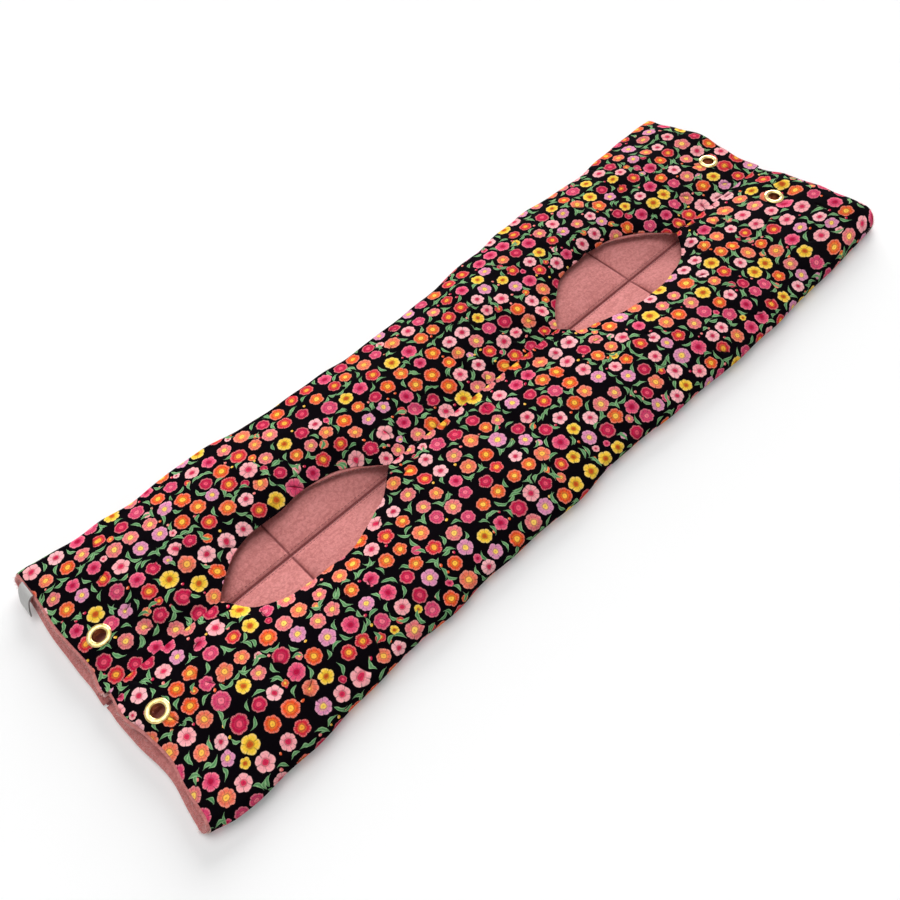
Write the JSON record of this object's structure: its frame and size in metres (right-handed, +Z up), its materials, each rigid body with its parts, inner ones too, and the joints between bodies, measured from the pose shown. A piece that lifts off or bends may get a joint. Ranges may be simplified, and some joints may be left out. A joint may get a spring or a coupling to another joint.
{
  "type": "small pet hanging tunnel",
  "caption": "Fleece-lined printed cotton sleeve for rats or ferrets, lying flat, with lens-shaped entries on its top seam and brass eyelets to hang it by.",
  "frame": {"origin": "on the floor, under the middle of the sleeve lying flat", "axes": "+X along the tunnel from its near mouth, which has the label, to its far mouth; +Y across it towards the label's side; +Z up"},
  "size_m": [0.7349, 0.2515, 0.0236],
  "materials": {
    "printed_cotton": "black woven cotton with a dense small flower print in pinks, reds and yellows",
    "pink_fleece": "dusty pink brushed fleece",
    "polished_brass": "polished",
    "white_ribbon": "white satin ribbon, bare"
  },
  "bodies": {
    "bottom_right": {"cover_bottom_right": "printed_cotton", "lining_bottom_right": "pink_fleece", "side_fold_cover_right": "printed_cotton", "side_fold_lining_right": "pink_fleece"},
    "bottom_left": {"cover_bottom_left": "printed_cotton", "lining_bottom_left": "pink_fleece", "side_fold_cover_left": "printed_cotton", "side_fold_lining_left": "pink_fleece"},
    "top_right": {"cover_top_right": "printed_cotton", "lining_top_right": "pink_fleece", "eyelet_near_right": "polished_brass", "eyelet_far_right": "polished_brass", "washer_near_right": "polished_brass", "washer_far_right": "polished_brass"},
    "top_left": {"cover_top_left": "printed_cotton", "lining_top_left": "pink_fleece", "eyelet_near_left": "polished_brass", "eyelet_far_left": "polished_brass", "washer_near_left": "polished_brass", "washer_far_left": "polished_brass"},
    "label": {"label_tag": "white_ribbon"}
  },
  "joints": [
    {"name": "bottom_crease", "type": "hinge", "parent": "bottom_right", "child": "bottom_left", "pos_m": [0, 0, 0], "axis": [1, 0, 0], "range_deg": [0, 85]},
    {"name": "right_side_fold", "type": "hinge", "parent": "bottom_right", "child": "top_right", "pos_m": [0, -0.1185, 0.0075], "axis": [1, 0, 0], "range_deg": [0, 85], "deforming": ["side_fold_cover_right", "side_fold_lining_right"]},
    {"name": "left_side_fold", "type": "hinge", "parent": "bottom_left", "child": "top_left", "pos_m": [0, 0.1185, 0.0075], "axis": [-1, 0, 0], "range_deg": [0, 85], "deforming": ["side_fold_cover_left", "side_fold_lining_left"]},
    {"name": "label_hinge", "type": "hinge", "parent": "top_left", "child": "label", "pos_m": [-0.36075, 0.1035, 0.017], "axis": [0, 1, 0], "range_deg": [0, 100]}
  ],
  "couplings": [
    {"joint": "right_side_fold", "follows": "bottom_crease", "ratio": 1},
    {"joint": "left_side_fold", "follows": "bottom_crease", "ratio": 1}
  ]
}
